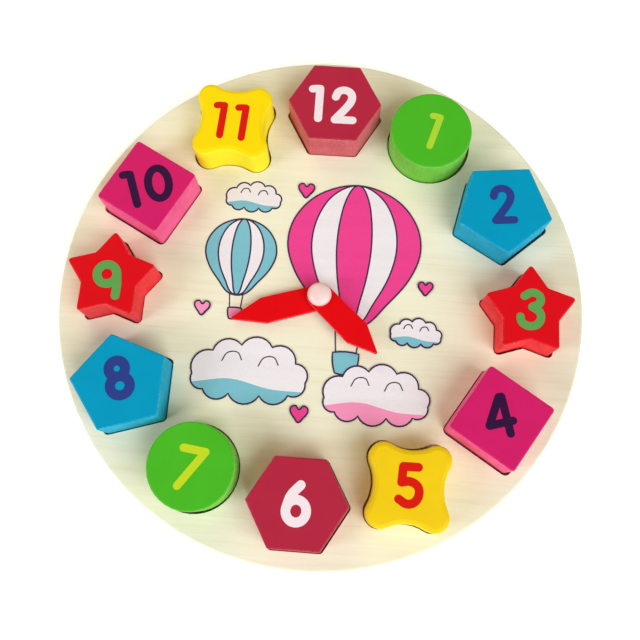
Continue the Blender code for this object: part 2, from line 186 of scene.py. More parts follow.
def sweep_line(form: bmesh.types.BMesh, path: list[Vector], width: float, closed: bool) -> None:
    """Draw a flat line with round ends by sweeping a short edge along a path.

    Args:
        form: the mesh that the line is drawn into.
        path: centre line of the stroke, in the XY plane.
        width: width of the stroke.
        closed: True for a path that comes back to its start.
    """
    half = width / 2
    count = len(path)
    stations = []
    for place, point in enumerate(path):
        before = path[place - 1] if closed or place else point
        after = path[(place + 1) % count] if closed or place + 1 < count else point
        stations.append((point, (after - before).normalized(), half))
    if closed:
        stations.append(stations[0])
    else:
        turns = [math.pi / 2 * step / ROUND_END_STEPS for step in range(ROUND_END_STEPS, 0, -1)]
        start, leaving, _ = stations[0]
        end, arriving, _ = stations[-1]
        head = [
            (start - leaving * half * math.sin(turn), leaving, half * math.cos(turn)) for turn in turns
        ]
        tail = [
            (end + arriving * half * math.sin(turn), arriving, half * math.cos(turn))
            for turn in reversed(turns)
        ]
        stations = head + stations + tail

    def ends(station: tuple[Vector, Vector, float]) -> tuple[Vector, Vector]:
        """Both ends of the edge that crosses the stroke at a station."""
        point, along, reach = station
        across = Vector((-along.y, along.x, 0.0)) * reach
        return point + across, point - across

    sides = [form.verts.new(place) for place in ends(stations[0])]
    edge = form.edges.new(sides)
    for station in stations[1:]:
        grown = bmesh.ops.extrude_edge_only(form, edges=[edge])["geom"]
        edge = next(part for part in grown if isinstance(part, bmesh.types.BMEdge))
        fresh = [
            next(link.other_vert(side) for link in side.link_edges if link.other_vert(side) in edge.verts)
            for side in sides
        ]
        for vert, place in zip(fresh, ends(station)):
            vert.co = place
        sides = fresh


def fill_path(form: bmesh.types.BMesh, path: list[Vector]) -> None:
    """Fill a closed path with one flat face.

    Args:
        form: the mesh that the face is drawn into.
        path: outline of the face, in the XY plane.
    """
    verts = [form.verts.new(point) for point in path]
    edges = [form.edges.new(pair) for pair in zip(verts, verts[1:] + verts[:1])]
    bmesh.ops.contextual_create(form, geom=edges)


def merge_close(form: bmesh.types.BMesh) -> None:
    """Merge corners that lie together, and drop the slivers between them."""
    bmesh.ops.remove_doubles(form, verts=form.verts, dist=MERGE_DISTANCE)
    bmesh.ops.dissolve_degenerate(form, edges=form.edges, dist=MERGE_DISTANCE)


def settle_order(form: bmesh.types.BMesh) -> None:
    """Sort corners, edges and faces by place, because operators may list them anew in each run.

    Args:
        form: the mesh to sort.
    """
    form.verts.index_update()
    for place, vert in enumerate(sorted(form.verts, key=lambda vert: tuple(vert.co))):
        vert.index = place
    form.verts.sort()
    form.verts.index_update()
    for parts in (form.edges, form.faces):
        ranked = sorted(parts, key=lambda part: sorted(vert.index for vert in part.verts))
        for place, part in enumerate(ranked):
            part.index = place
        parts.sort()
        parts.index_update()


def raise_film(form: bmesh.types.BMesh, bottom: float, top: float) -> None:
    """Give flat faces drawn at height zero a bottom and a top, as a closed film.

    Args:
        form: the mesh that holds the faces.
        bottom: height of the film's underside.
        top: height of its upper side.
    """
    merge_close(form)
    lower = form.faces[:]
    grown = bmesh.ops.extrude_face_region(form, geom=lower, use_keep_orig=True)["geom"]
    upper = [part for part in grown if isinstance(part, bmesh.types.BMVert)]
    bmesh.ops.translate(form, verts=form.verts, vec=(0, 0, bottom))
    bmesh.ops.translate(form, verts=upper, vec=(0, 0, top - bottom))
    bmesh.ops.recalc_face_normals(form, faces=form.faces)
    settle_order(form)


def mesh_object(name: str, form: bmesh.types.BMesh) -> bpy.types.Object:
    """Put a finished bmesh in the scene as an object at the origin, and free it.

    Args:
        name: name of the piece.
        form: the finished mesh.

    Returns:
        The piece.
    """
    mesh = bpy.data.meshes.new(name)
    form.to_mesh(mesh)
    form.free()
    piece = bpy.data.objects.new(name, mesh)
    bpy.context.scene.collection.objects.link(piece)
    return piece


def join_films(name: str, films: list[bpy.types.Object]) -> bpy.types.Object:
    """Unite overlapping films of paint into one clean solid.

    Args:
        name: name of the united piece.
        films: closed films at one height.

    Returns:
        The united piece.
    """
    base = films[0]
    for film in films[1:]:
        union = base.modifiers.new(film.name, "BOOLEAN")
        union.operation = "UNION"
        union.solver = "EXACT"
        union.object = film
    graph = bpy.context.evaluated_depsgraph_get()
    united = bpy.data.meshes.new_from_object(base.evaluated_get(graph))
    form = bmesh.new()
    form.from_mesh(united)
    bpy.data.meshes.remove(united)
    for film in films:
        bpy.data.objects.remove(film)
    merge_close(form)
    settle_order(form)
    return mesh_object(name, form)


# Finishes


class NodeKit:
    """Adds nodes to a material or a group in few words."""

    def __init__(self, tree: bpy.types.NodeTree) -> None:
        """Keep the tree that nodes are added to."""
        self.tree = tree

    def feed(self, node: bpy.types.Node, inputs: dict[str | int, object]) -> None:
        """Set inputs of a node.

        Args:
            node: the node.
            inputs: for each input, a value or the output socket that feeds it.
        """
        for name, value in inputs.items():
            if isinstance(value, Socket):
                self.tree.links.new(value, node.inputs[name])
            else:
                node.inputs[name].default_value = value

    def add(
        self, kind: str, inputs: dict[str | int, object] | None = None, **settings: object
    ) -> bpy.types.Node:
        """Add a node.

        Args:
            kind: the node's type.
            inputs: for each input, a value or the output socket that feeds it.
            settings: the node's own settings.

        Returns:
            The new node.
        """
        node = self.tree.nodes.new(kind)
        for name, value in settings.items():
            setattr(node, name, value)
        self.feed(node, inputs or {})
        return node

    def effect(self, group: bpy.types.NodeTree, inputs: dict[str | int, object]) -> bpy.types.Node:
        """Place a shared effect and set its inputs."""
        return self.add("ShaderNodeGroup", inputs, node_tree=group)

    def math(self, operation: str, first: object, second: object = 0.0, third: object = 0.0) -> Socket:
        """Add a Math node and return its output."""
        node = self.add("ShaderNodeMath", {0: first, 1: second, 2: third}, operation=operation)
        return node.outputs[0]

    def mix(self, share: object, first: object, second: object) -> Socket:
        """Mix two colours by a share and return the colour."""
        node = self.add("ShaderNodeMix", {0: share, 6: first, 7: second}, data_type="RGBA")
        return node.outputs[2]

    def ramp(
        self, value: object, low: float, high: float, to_low: float = 0.0, to_high: float = 1.0
    ) -> Socket:
        """Map a value from one range to another and return it."""
        node = self.add("ShaderNodeMapRange", {0: value, 1: low, 2: high, 3: to_low, 4: to_high})
        return node.outputs[0]

    def noise(self, spot: Socket, scale: object, detail: float, roughness: float = 0.5) -> Socket:
        """Add a Noise Texture and return its value."""
        inputs = {"Vector": spot, "Scale": scale, "Detail": detail, "Roughness": roughness}
        return self.add("ShaderNodeTexNoise", inputs).outputs["Fac"]


def new_group(
    name: str, inputs: dict[str, str], outputs: Sequence[str]
) -> tuple[NodeKit, bpy.types.Node, bpy.types.Node]:
    """Start a shader node group with named sockets.

    Args:
        name: name of the group.
        inputs: each input's name and socket type.
        outputs: name of each output, all of them plain numbers.

    Returns:
        The group's kit, and its input and output nodes.
    """
    group = bpy.data.node_groups.new(name, "ShaderNodeTree")
    for label, kind in inputs.items():
        group.interface.new_socket(label, in_out="INPUT", socket_type=kind)
    for label in outputs:
        group.interface.new_socket(label, in_out="OUTPUT", socket_type=NUMBER_SOCKET)
    kit = NodeKit(group)
    return kit, kit.add("NodeGroupInput"), kit.add("NodeGroupOutput")


def grain_group() -> bpy.types.NodeTree:
    """Long wood fibres along X: streaks and pores for colour, and their height for a bump.

    Returns:
        The node group.
    """
    kit, given, out = new_group(
        "wood_fibres",
        {"Vector": VECTOR_SOCKET, "Fibre": NUMBER_SOCKET, "Waviness": NUMBER_SOCKET},
        ("Streaks", "Pores", "Height"),
    )
    spot, fibre = given.outputs["Vector"], given.outputs["Fibre"]
    wander = kit.add("ShaderNodeTexNoise", {"Vector": spot, "Scale": 9.0, "Detail": 2.0})
    centred = kit.add(
        "ShaderNodeVectorMath", {0: wander.outputs["Color"], 1: (0.5, 0.5, 0.5)}, operation="SUBTRACT"
    )
    bent = kit.add(
        "ShaderNodeVectorMath", {0: centred.outputs[0], 3: given.outputs["Waviness"]}, operation="SCALE"
    )
    moved = kit.add("ShaderNodeVectorMath", {0: spot, 1: bent.outputs[0]}, operation="ADD")
    broad = kit.add("ShaderNodeMapping", {"Vector": moved.outputs[0], "Scale": (0.035, 1.0, 1.0)})
    fine = kit.add("ShaderNodeMapping", {"Vector": moved.outputs[0], "Scale": (0.09, 2.7, 2.7)})
    streaks = kit.noise(broad.outputs[0], fibre, 4.0, 0.62)
    pores = kit.noise(fine.outputs[0], fibre, 3.0, 0.55)
    height = kit.math("ADD", streaks, kit.math("MULTIPLY", pores, 0.6))
    kit.feed(out, {"Streaks": kit.ramp(streaks, 0.36, 0.66), "Pores": kit.ramp(pores, 0.55, 0.72)})
    kit.feed(out, {"Height": height})
    return kit.tree


def rim_group() -> bpy.types.NodeTree:
    """Masks by which way a surface faces: the flat faces, and the chipped rim between flat and side, for
    worn paint and a painted highlight.

    Returns:
        The node group.
    """
    kit, given, out = new_group(
        "worn_and_highlit_rims",
        {"Vector": VECTOR_SOCKET, "Normal": VECTOR_SOCKET, "Wear_And_Highlight": NUMBER_SOCKET},
        ("Flat", "Rim_Wear_And_Highlight"),
    )
    spot = given.outputs["Vector"]
    parts = kit.add("ShaderNodeSeparateXYZ", {0: given.outputs["Normal"]})
    level = kit.math("ABSOLUTE", parts.outputs["Z"])
    turned = kit.math("MULTIPLY", kit.ramp(level, 0.08, 0.45), kit.ramp(level, 0.98, 0.8))
    chips = kit.ramp(kit.noise(spot, 900.0, 2.0), 0.4, 0.62)
    patches = kit.ramp(kit.noise(spot, 60.0, 1.0), 0.35, 0.6)
    chipped_and_highlit = kit.math("MULTIPLY", turned, kit.math("MULTIPLY", chips, patches))
    rim = kit.math("MULTIPLY", chipped_and_highlit, given.outputs["Wear_And_Highlight"])
    kit.feed(out, {"Flat": kit.ramp(level, 0.35, 0.75), "Rim_Wear_And_Highlight": rim})
    return kit.tree


def mottle_group() -> bpy.types.NodeTree:
    """Soft unevenness of brushed or printed colour, and its fine texture.

    Returns:
        The node group.
    """
    kit, given, out = new_group(
        "uneven_coat",
        {"Vector": VECTOR_SOCKET, "Patch": NUMBER_SOCKET, "Speck": NUMBER_SOCKET},
        ("Mottle", "Specks"),
    )
    spot = given.outputs["Vector"]
    broad = kit.noise(spot, given.outputs["Patch"], 3.0)
    fine = kit.noise(spot, given.outputs["Speck"], 2.0)
    kit.feed(out, {"Mottle": kit.ramp(broad, 0.3, 0.7), "Specks": kit.ramp(fine, 0.35, 0.65)})
    return kit.tree


@dataclass
class SharedEffects:
    """The node groups that several finishes use, each built once."""

    grain: bpy.types.NodeTree = field(default_factory=grain_group)
    rims: bpy.types.NodeTree = field(default_factory=rim_group)
    mottle: bpy.types.NodeTree = field(default_factory=mottle_group)


def start_material(
    name: str,
) -> tuple[bpy.types.Material, NodeKit, bpy.types.Node, bpy.types.Node]:
    """Start a material.

    Args:
        name: name of the material.

    Returns:
        The material, its kit, its Principled shader, and its Texture Coordinate node.
    """
    material = bpy.data.materials.new(name)
    material.use_nodes = True
    kit = NodeKit(material.node_tree)
    return material, kit, material.node_tree.nodes["Principled BSDF"], kit.add("ShaderNodeTexCoord")


def set_bump(
    kit: NodeKit, shader: bpy.types.Node, height: Socket, distance: float, strength: float
) -> None:
    """Feed a height into the shader's normal through a Bump node."""
    bump = kit.add("ShaderNodeBump", {"Height": height, "Distance": distance, "Strength": strength})
    kit.feed(shader, {"Normal": bump.outputs["Normal"]})


# In the finishes below, fibre, patch and speck are the scales of noise textures, and a share says how
# much of an effect comes through, from 0 to 1.


@dataclass(frozen=True)
class PaintedWood:
    """Opaque paint on solid wood: dense on the flat faces, thinner on the grainy sides, whose lighter
    colours are partly painted light on lit sides.
    """

    name: str
    flat: Rgb
    # The side colours are lighter than the flat one, partly for thinner paint and partly as painted light on
    # lit sides.
    side: Rgb
    streak: Rgb
    # worn is the rims' colour, partly worn paint and partly a painted highlight along the edges.
    worn: Rgb
    wear_and_highlight: float = 0.34
    fibre: float = 1100.0
    waviness: float = 0.004
    patch: float = 90.0
    speck: float = 1500.0
    brushed_shade: float = 0.86
    brushed_share: float = 0.4
    speck_share: float = 0.5
    streak_share: float = 0.12
    blotch_share: float = 0.55
    blotch_middle: float = 0.45
    specular: float = 0.08
    roughness: float = 0.4
    side_roughness: float = 0.14
    speck_roughness: float = 0.12
    side_grain: float = 0.5
    grain_lost_on_flat: float = 0.4
    speck_height: float = 0.12
    bump_distance: float = 0.0001
    bump_strength: float = 0.3

    def material(self, effects: SharedEffects) -> bpy.types.Material:
        """Build the material.

        Args:
            effects: the shared effects that it draws on.

        Returns:
            The finished material.
        """
        material, kit, shader, where = start_material(self.name)
        spot = where.outputs["Object"]
        upright = kit.add("ShaderNodeMapping", {"Vector": spot, "Rotation": (0.0, math.radians(90.0), 0.0)})
        grain = kit.effect(
            effects.grain, {"Vector": upright.outputs[0], "Fibre": self.fibre, "Waviness": self.waviness}
        )
        rims = kit.effect(
            effects.rims, {"Vector": spot, "Normal": where.outputs["Normal"], "Wear_And_Highlight": self.wear_and_highlight}
        )
        coat = kit.effect(effects.mottle, {"Vector": spot, "Patch": self.patch, "Speck": self.speck})
        facing_up, mottle, specks = rims.outputs["Flat"], coat.outputs["Mottle"], coat.outputs["Specks"]

        brushed = kit.math("MULTIPLY", mottle, self.brushed_share)
        flat = kit.mix(brushed, linear(self.flat), shaded(linear(self.flat), self.brushed_shade))
        thin = kit.math("MULTIPLY", specks, self.speck_share)
        thin = kit.math("MULTIPLY_ADD", grain.outputs["Streaks"], self.streak_share, thin)
        blotch = kit.math("SUBTRACT", mottle, self.blotch_middle)
        thin = kit.math("MULTIPLY_ADD", blotch, self.blotch_share, thin)
        # Sides: thin-paint texture between two colours that are both lightened partly as painted light.
        side = kit.mix(thin, linear(self.side), linear(self.streak))
        # Rims take the worn colour, partly worn paint and partly a painted highlight.
        colour = kit.mix(rims.outputs["Rim_Wear_And_Highlight"], kit.mix(facing_up, side, flat), linear(self.worn))
        rough = kit.math("MULTIPLY_ADD", specks, self.speck_roughness, self.roughness)
        rough = kit.math("MULTIPLY_ADD", kit.math("SUBTRACT", 1.0, facing_up), self.side_roughness, rough)
        grainy = kit.math("MULTIPLY_ADD", facing_up, -self.grain_lost_on_flat, self.side_grain)
        height = kit.math("MULTIPLY", grain.outputs["Height"], grainy)
        height = kit.math("MULTIPLY_ADD", specks, self.speck_height, height)
        kit.feed(shader, {"Base Color": colour, "Roughness": rough, "Specular IOR Level": self.specular})
        set_bump(kit, shader, height, self.bump_distance, self.bump_strength)
        return material


@dataclass(frozen=True)
class PalePly:
    """Bare birch ply: fine fibres along X, veneer layers on the rim, pocket walls darker partly as scorch
    and partly as painted shade.
    """

    name: str
    flat: Rgb = (244, 240, 216)
    streak: Rgb = (228, 220, 185)
    pore: Rgb = (206, 193, 149)
    core: Rgb = (198, 168, 118)
    # Pocket-wall colour: partly scorch, partly painted shade of the narrow gaps round the blocks.
    scorch_and_gap_shade: Rgb = (218, 150, 108)
    rim_radius: float = 0.1105
    rim_blend: float = 0.001
    layered_height: float = 0.0093
    fibre: float = 260.0
    waviness: float = 0.005
    patch: float = 14.0
    speck: float = 2200.0
    streak_share: float = 0.34
    pore_share: float = 0.2
    mottle_share: float = 0.22
    rim_pore_share: float = 0.5
    specular: float = 0.2
    roughness: float = 0.5
    pore_roughness: float = 0.15
    speck_height: float = 0.2
    bump_distance: float = 0.00015
    bump_strength: float = 0.25

    def material(self, effects: SharedEffects) -> bpy.types.Material:
        """Build the material.

        Args:
            effects: the shared effects that it draws on.

        Returns:
            The finished material.
        """
        material, kit, shader, where = start_material(self.name)
        spot = where.outputs["Object"]
        grain = kit.effect(effects.grain, {"Vector": spot, "Fibre": self.fibre, "Waviness": self.waviness})
        rims = kit.effect(effects.rims, {"Vector": spot, "Normal": where.outputs["Normal"]})
        coat = kit.effect(effects.mottle, {"Vector": spot, "Patch": self.patch, "Speck": self.speck})
        pores = grain.outputs["Pores"]

        streaked = kit.math("MULTIPLY", grain.outputs["Streaks"], self.streak_share)
        flat = kit.mix(streaked, linear(self.flat), linear(self.streak))
        flat = kit.mix(kit.math("MULTIPLY", pores, self.pore_share), flat, linear(self.pore))
        mottled = kit.math("MULTIPLY", coat.outputs["Mottle"], self.mottle_share)
        flat = kit.mix(mottled, flat, linear(self.streak))

        place = kit.add("ShaderNodeSeparateXYZ", {0: spot})
        layers = self.layers(kit, kit.ramp(place.outputs["Z"], 0.0, self.layered_height))
        side = kit.mix(kit.math("MULTIPLY", pores, self.rim_pore_share), layers, linear(self.core))
        across = kit.add("ShaderNodeCombineXYZ", {0: place.outputs["X"], 1: place.outputs["Y"]})
        reach = kit.add("ShaderNodeVectorMath", {0: across.outputs[0]}, operation="LENGTH")
        outside = kit.ramp(reach.outputs["Value"], self.rim_radius - self.rim_blend, self.rim_radius)
        # Walls inside the rim, the pocket walls, take the darker colour: partly scorch, partly painted
        # shade.
        side = kit.mix(outside, linear(self.scorch_and_gap_shade), side)
        colour = kit.mix(rims.outputs["Flat"], side, flat)
        rough = kit.math("MULTIPLY_ADD", pores, self.pore_roughness, self.roughness)
        kit.feed(shader, {"Base Color": colour, "Roughness": rough, "Specular IOR Level": self.specular})
        height = kit.math(
            "MULTIPLY_ADD", coat.outputs["Specks"], self.speck_height, grain.outputs["Height"]
        )
        set_bump(kit, shader, height, self.bump_distance, self.bump_strength)
        return material

    def layers(self, kit: NodeKit, height: Socket) -> Socket:
        """Colour the veneers and the glue line by their height in the board.

        Args:
            height: height in the board, from 0 to 1.

        Returns:
            The colour of the layer there.
        """
        pale, dark, glue = linear(self.flat), linear(self.core), linear(self.pore)
        ramp = kit.add("ShaderNodeValToRGB", {0: height})
        ramp.color_ramp.interpolation = "CONSTANT"
        bands = ramp.color_ramp.elements
        bands[0].position, bands[0].color = 0.0, pale
        bands[1].position, bands[1].color = 0.11, dark
        for share, colour in ((0.215, pale), (0.32, glue), (0.36, pale), (0.56, dark), (0.79, pale)):
            bands.new(share).color = colour
        return ramp.outputs["Color"]


@dataclass(frozen=True)
class FlatInk:
    """A film of ink or number paint, with the wood's fibres faintly through it."""

    name: str
    colour: Rgb
    show_through: float = 0.25
    fibre: float = 210.0
    waviness: float = 0.012
    patch: float = 130.0
    speck: float = 1800.0
    dark_factor: float = 0.8
    pale_factor: float = 1.12
    pale_lift: float = 0.02
    specular: float = 0.08
    roughness: float = 0.4
    mottle_roughness: float = 0.15
    bump_distance: float = 0.00005
    bump_strength: float = 0.3

    def material(self, effects: SharedEffects) -> bpy.types.Material:
        """Build the material.

        Args:
            effects: the shared effects that it draws on.

        Returns:
            The finished material.
        """
        material, kit, shader, where = start_material(self.name)
        spot = where.outputs["Object"]
        grain = kit.effect(effects.grain, {"Vector": spot, "Fibre": self.fibre, "Waviness": self.waviness})
        coat = kit.effect(effects.mottle, {"Vector": spot, "Patch": self.patch, "Speck": self.speck})
        base = linear(self.colour)
        dark = shaded(base, self.dark_factor)
        pale = shaded(base, self.pale_factor, self.pale_lift)
        colour = kit.mix(kit.math("MULTIPLY", grain.outputs["Streaks"], self.show_through), base, dark)
        colour = kit.mix(kit.math("MULTIPLY", coat.outputs["Specks"], self.show_through), colour, pale)
        rough = kit.math("MULTIPLY_ADD", coat.outputs["Mottle"], self.mottle_roughness, self.roughness)
        kit.feed(shader, {"Base Color": colour, "Roughness": rough, "Specular IOR Level": self.specular})
        set_bump(kit, shader, coat.outputs["Specks"], self.bump_distance, self.bump_strength)
        return material


@dataclass(frozen=True)
class MilkyPlastic:
    """Glossy moulded plastic with a soft cloudiness, rosier on its sides."""

    name: str
    colour: Rgb = (246, 214, 210)
    rosy: Rgb = (250, 178, 176)
    patch: float = 260.0
    speck: float = 2500.0
    side_rosiness: float = 0.8
    mottle_rosiness: float = 0.15
    roughness: float = 0.2
    speck_roughness: float = 0.06
    depth_share: float = 0.3
    depth: tuple[float, float, float] = (0.003, 0.0015, 0.0012)

    def material(self, effects: SharedEffects) -> bpy.types.Material:
        """Build the material.

        Args:
            effects: the shared effects that it draws on.

        Returns:
            The finished material.
        """
        material, kit, shader, where = start_material(self.name)
        spot = where.outputs["Object"]
        coat = kit.effect(effects.mottle, {"Vector": spot, "Patch": self.patch, "Speck": self.speck})
        rims = kit.effect(effects.rims, {"Vector": spot, "Normal": where.outputs["Normal"]})
        turned = kit.math("SUBTRACT", 1.0, rims.outputs["Flat"])
        rosy = kit.math("MULTIPLY", turned, self.side_rosiness)
        rosy = kit.math("MULTIPLY_ADD", coat.outputs["Mottle"], self.mottle_rosiness, rosy)
        rough = kit.math("MULTIPLY_ADD", coat.outputs["Specks"], self.speck_roughness, self.roughness)
        kit.feed(
            shader,
            {
                "Base Color": kit.mix(rosy, linear(self.colour), linear(self.rosy)),
                "Roughness": rough,
                "Subsurface Weight": self.depth_share,
                "Subsurface Radius": self.depth,
                "Subsurface Scale": 1.0,
            },
        )
        return material


def dress(piece: bpy.types.Object, material: bpy.types.Material) -> None:
    """Give every slot of a piece one material.

    Args:
        piece: the piece to dress.
        material: what it is dressed in.
    """
    if not piece.material_slots:
        piece.data.materials.append(material)
    for worn in piece.material_slots:
        worn.material = material


# Sub-assemblies


@dataclass(frozen=True)
class Stroke:
    """Centre line of one brush stroke, in millimetres from the middle of its digit."""

    points: Outline
    closed: bool = False


# The upper ring of the 8 stands 0.03 mm aside, so that no cut across it meets one across the lower ring.
DIGITS_MM: dict[str, tuple[Stroke, ...]] = {
    "0": (Stroke(oval(0.0, 0.0, 4.35, 6.9), True),),
    "1": (Stroke(((-3.2, 6.8), (-1.6, 7.05), (0.0, 7.1))), Stroke(((0.0, 7.1), (0.0, -7.1)))),
    "2": (
        Stroke(((-4.0, 3.7), (-3.0, 6.1), (-0.5, 7.1), (2.1, 6.1), (3.1, 3.7), (2.0, 0.4), (-3.9, -7.1))),
        Stroke(((-3.9, -7.1), (3.8, -7.1))),
    ),
    "3": (
        Stroke(((-3.3, 5.3), (-0.2, 7.1), (2.9, 5.9), (3.1, 3.0), (0.1, 1.0))),
        Stroke(
            ((0.1, 1.0), (3.3, -0.9), (3.8, -3.8), (2.2, -6.3), (-0.6, -7.1), (-2.8, -6.5), (-4.0, -5.2),
             (-4.4, -3.6))
        ),
    ),
    "4": (
        Stroke(((0.2, 7.7), (1.3, 7.7))),
        Stroke(((1.3, 7.7), (2.1, -7.1))),
        Stroke(((0.2, 7.7), (-5.5, -2.9))),
        Stroke(((-5.5, -2.9), (4.0, -2.3))),
    ),
    "5": (
        Stroke(((3.1, 7.1), (-2.7, 7.1))),
        Stroke(((-2.7, 7.1), (-3.2, 1.0))),
        Stroke(((-3.2, 1.0), (0.0, 1.5), (3.0, -0.1), (3.7, -3.1), (2.2, -6.1), (-0.8, -7.1), (-4.1, -5.4))),
    ),
    "6": (
        Stroke(((1.4, 7.1), (-2.3, 2.9), (-4.0, -2.3))),
        Stroke(oval(0.0, -2.75, 4.0, 4.25), True),
    ),
    "7": (Stroke(((-4.2, 7.1), (4.3, 7.1))), Stroke(((4.3, 7.1), (-3.3, -7.1)))),
    "8": (Stroke(oval(0.03, 3.8, 3.2, 3.2), True), Stroke(oval(0.0, -3.1, 3.85, 3.75), True)),
    "9": (
        Stroke(oval(-0.2, 3.0, 4.1, 4.1), True),
        Stroke(((3.9, 3.0), (4.0, -1.6), (3.4, -6.4))),
    ),
}


@dataclass(frozen=True)
class Digit:
    """One digit on a block: its place from the block's middle in millimetres, its turn, size and lean."""

    shown: str
    x: float
    y: float
    turn: float
    size: float = 1.0
    lean: float = 0.0


@dataclass(frozen=True)
class Block:
    """One shape block: its paint, its place on the ring, and the number painted on it."""

    paint: str
    bearing: float
    distance: float
    ink: Ink
    brush_mm: float
    digits: tuple[Digit, ...]


@dataclass
class ShapeBlocks:
    """The twelve loose blocks and their painted numbers, each a third sunk in its block's top."""

    film: float = 0.00009
    show_through: float = 0.12
    blocks: dict[int, Block] = field(
        default_factory=lambda: {
            1: Block("circle", 29.5, 0.0858, Ink.LIME, 2.9, (Digit("1", 1.55, -0.65, 16.1),)),
            2: Block("pentagon", 60.5, 0.0857, Ink.INDIGO, 3.3, (Digit("2", -0.35, 0.95, -6.5),)),
            3: Block("star", 91.2, 0.0867, Ink.LEAF, 3.3, (Digit("3", 0.2, 0.35, 2.0),)),
            4: Block("square", 121.4, 0.0894, Ink.NAVY, 3.2, (Digit("4", -0.2, 0.6, -13.0),)),
            5: Block("amber", 151.4, 0.0867, Ink.SCARLET, 3.4, (Digit("5", 0.0, 0.55, -1.0),)),
            6: Block("hexagon", 180.9, 0.086, Ink.WHITE, 3.7, (Digit("6", -0.3, -0.1, -2.0),)),
            7: Block("circle", 210.4, 0.0874, Ink.LEMON, 3.2, (Digit("7", 0.1, -0.9, 6.7, 1.04),)),
            8: Block("pentagon", 239.5, 0.0887, Ink.INDIGO, 4.1, (Digit("8", -0.7, 1.7, -18.4, 1.03),)),
            9: Block("star", 269.2, 0.0871, Ink.LEAF, 3.6, (Digit("9", -0.45, -2.35, -7.0),)),
            10: Block(
                "square", 297.2, 0.0867, Ink.NAVY, 3.4,
                (Digit("1", -5.2, -2.2, -6.0, 0.96, -0.27), Digit("0", 5.0, 1.4, -17.5)),
            ),
            11: Block(
                "lemon", 328.8, 0.0852, Ink.SCARLET, 3.1,
                (Digit("1", -4.25, -0.55, 2.4), Digit("1", 5.2, -1.05, 2.7)),
            ),
            12: Block(
                "hexagon", 359.8, 0.0845, Ink.WHITE, 3.5,
                (Digit("1", -6.8, -1.0, -0.8), Digit("2", 4.3, -0.95, -1.4)),
            ),
        }
    )
    # Each paint gives flat, side, thin-paint and rim colours; sides and rims are lighter partly for thin or
    # worn paint and partly as painted light and a painted highlight.
    paints: tuple[PaintedWood, ...] = (
        PaintedWood("circle_paint", (74, 183, 36), (107, 194, 61), (148, 216, 95), (184, 226, 140)),
        PaintedWood("pentagon_paint", (0, 153, 194), (8, 158, 198), (54, 190, 224), (140, 220, 240)),
        PaintedWood("star_paint", (222, 10, 24), (236, 38, 47), (254, 94, 96), (252, 132, 126)),
        PaintedWood("square_paint", (211, 28, 103), (238, 82, 136), (254, 122, 168), (250, 150, 184)),
        PaintedWood("amber_paint", (245, 205, 20), (250, 214, 40), (253, 224, 70), (255, 230, 120), 0.1),
        PaintedWood("lemon_paint", (255, 221, 4), (255, 240, 30), (255, 246, 62), (255, 244, 120), 0.1),
        PaintedWood("hexagon_paint", (180, 38, 64), (196, 87, 95), (222, 124, 128), (230, 146, 146)),
    )

    def build(self, nodes: dict[str, bpy.types.Object], effects: SharedEffects) -> None:
        """Dress the blocks and paint a number on each.

        Args:
            nodes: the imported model's pieces, by name.
            effects: the shared effects that the finishes draw on.
        """
        paints = {finish.name: finish.material(effects) for finish in self.paints}
        inks = {
            ink: FlatInk("number_" + ink.name.lower(), ink.value, self.show_through).material(effects)
            for ink in dict.fromkeys(block.ink for block in self.blocks.values())
        }
        for hour, block in sorted(self.blocks.items()):
            node = f"block_{hour:02d}"
            dress(nodes[node], paints[block.paint + "_paint"])
            number = self.number(hour, block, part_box(node)[1].z)
            dress(number, inks[block.ink])
            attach(number, node)
            LOG.info("painted %s on %s", number.name, node)

    def number(self, hour: int, block: Block, top: float) -> bpy.types.Object:
        """Make the number that is painted on a block.

        Args:
            hour: the block's hour.
            block: the block's own values.
            top: height of the block's top face.

        Returns:
            The number as one film of paint.
        """
        middle = polar(block.distance, block.bearing)
        films = []
        for digit in block.digits:
            place = (
                Matrix.Translation(middle + Vector((digit.x, digit.y, 0.0)) * MILLIMETRE)
                @ Matrix.Rotation(-math.radians(digit.turn), 4, "Z")
                @ Matrix.Scale(MILLIMETRE, 4)
            )
            for order, stroke in enumerate(DIGITS_MM[digit.shown]):
                scaled = [((x + digit.lean * y) * digit.size, y * digit.size) for x, y in stroke.points]
                form = bmesh.new()
                sweep_line(form, smooth_path(scaled, stroke.closed), block.brush_mm, stroke.closed)
                bmesh.ops.transform(form, matrix=place, verts=form.verts)
                raise_film(form, top - self.film / 3, top + self.film)
                films.append(mesh_object(f"stroke_{hour}_{digit.shown}_{order}", form))
        return join_films(f"number_{hour:02d}", films)


@dataclass
class Board:
    """The round board: face ply and back ply."""

    def build(self, nodes: dict[str, bpy.types.Object], effects: SharedEffects) -> None:
        """Dress both plies.

        Args:
            nodes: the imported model's pieces, by name.
            effects: the shared effects that the finishes draw on.
        """
        ply = PalePly("pale_ply").material(effects)
        dress(nodes["board_face"], ply)
        dress(nodes["board_back"], ply)
        LOG.info("dressed the board")


@dataclass
class HandsAndPin:
    """Both hands and the plastic parts that they turn on."""

    # The hands' side and rim colours are lighter partly for thin or worn paint and partly as painted light
    # and a painted highlight.
    hand_paint: PaintedWood = PaintedWood(
        "hand_paint", (228, 4, 14), (238, 48, 52), (250, 96, 94), (252, 140, 136), 0.5
    )

    def build(self, nodes: dict[str, bpy.types.Object], effects: SharedEffects) -> None:
        """Dress the hands, the cap, the socket and the washers.

        Args:
            nodes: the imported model's pieces, by name.
            effects: the shared effects that the finishes draw on.
        """
        red = self.hand_paint.material(effects)
        plastic = MilkyPlastic("pink_plastic").material(effects)
        for node in ("minute_hand", "hour_hand"):
            dress(nodes[node], red)
        for node in ("hub_pin", "rivet_socket", "lower_washer", "middle_washer"):
            dress(nodes[node], plastic)
        LOG.info("dressed the hands and the pin")


